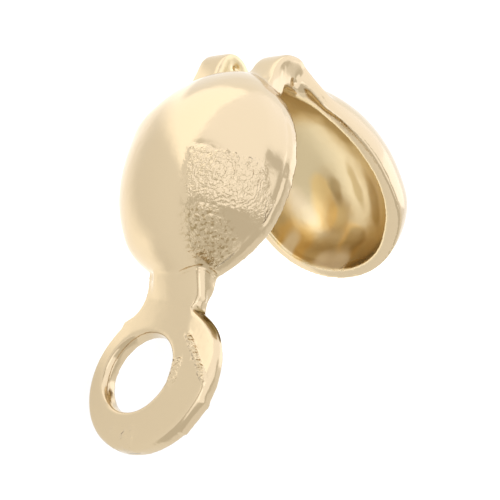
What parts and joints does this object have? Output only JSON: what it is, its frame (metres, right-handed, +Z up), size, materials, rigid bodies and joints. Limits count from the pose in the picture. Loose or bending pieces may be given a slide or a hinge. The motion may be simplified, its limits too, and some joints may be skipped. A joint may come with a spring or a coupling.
{
  "type": "clamshell bead tip",
  "caption": "Small brass jewellery finding: two domed cups on a strap hinge that close over a thread's knot, with a flat neck and ring for a jump ring or clasp. It stands open.",
  "frame": {"origin": "centre of the bounding box in plan, on the surface on which the open finding lies", "axes": "+Z up from that surface; +X along the ringed cup, from the hinge to the ring; +Y from the ringed cup towards the open cup"},
  "size_m": [0.0096, 0.007, 0.004],
  "materials": {
    "plated_brass": "bright pale gold plating over formed sheet, with fine orange-peel grain and tool marks"
  },
  "bodies": {
    "root": {"bead_tip": "plated_brass"}
  },
  "joints": []
}
